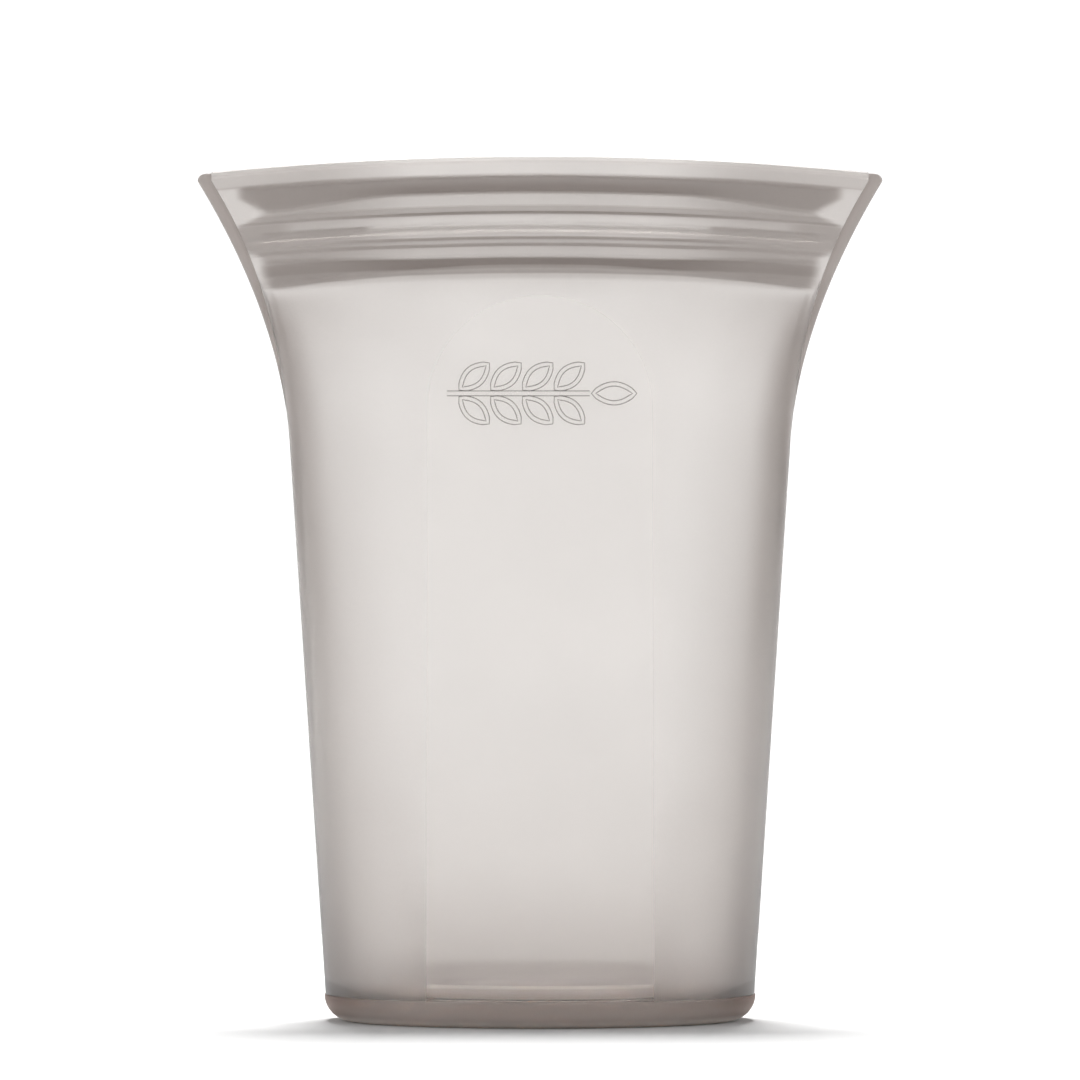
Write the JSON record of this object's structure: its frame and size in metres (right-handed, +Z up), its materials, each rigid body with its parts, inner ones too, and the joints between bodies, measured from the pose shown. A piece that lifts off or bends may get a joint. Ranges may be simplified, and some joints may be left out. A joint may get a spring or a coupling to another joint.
{
  "type": "reusable silicone storage bag",
  "caption": "Stand-up silicone cup with a round flat base that tapers to a wide pinched mouth, with lips that press shut, grip ribs and an arched window.",
  "frame": {"origin": "centre of the round foot, on the table plane", "axes": "+Z up from the table to the rim, X along the closed mouth, front lip (with the window) towards -Y"},
  "size_m": [0.13, 0.0818, 0.164],
  "materials": {
    "frosted_silicone": "soft matt, milky translucent wall",
    "window_silicone": "smoother satin window, milky translucent",
    "thick_silicone": "soft matt, thicker sections that look darker"
  },
  "bodies": {
    "cup": {"foot_ring": "thick_silicone", "floor": "thick_silicone", "base_band": "frosted_silicone", "left_gusset": "frosted_silicone", "right_gusset": "frosted_silicone", "left_edge_fold": "thick_silicone", "right_edge_fold": "thick_silicone", "left_corner": "thick_silicone", "right_corner": "thick_silicone"},
    "front_lip": {"front_wall": "frosted_silicone", "front_window": "window_silicone", "front_emblem": "thick_silicone", "front_collar": "frosted_silicone", "front_lower_rib": "thick_silicone", "front_zip_track": "frosted_silicone", "front_zip_ridge": "frosted_silicone", "front_flange": "frosted_silicone", "front_upper_rib": "thick_silicone", "front_rim_bead": "thick_silicone"},
    "rear_lip": {"rear_wall": "frosted_silicone", "rear_collar": "frosted_silicone", "rear_lower_rib": "thick_silicone", "rear_zip_track": "frosted_silicone", "rear_flange": "frosted_silicone", "rear_upper_rib": "thick_silicone", "rear_rim_bead": "thick_silicone"}
  },
  "joints": [
    {"name": "front_opening", "type": "hinge", "parent": "cup", "child": "front_lip", "pos_m": [0, -0.04, 0.0083], "axis": [1, 0, 0], "range_deg": [0, 8]},
    {"name": "rear_opening", "type": "hinge", "parent": "cup", "child": "rear_lip", "pos_m": [0, 0.04, 0.0083], "axis": [-1, 0, 0], "range_deg": [0, 8]}
  ],
  "couplings": [
    {"joint": "rear_opening", "follows": "front_opening", "ratio": 1}
  ]
}
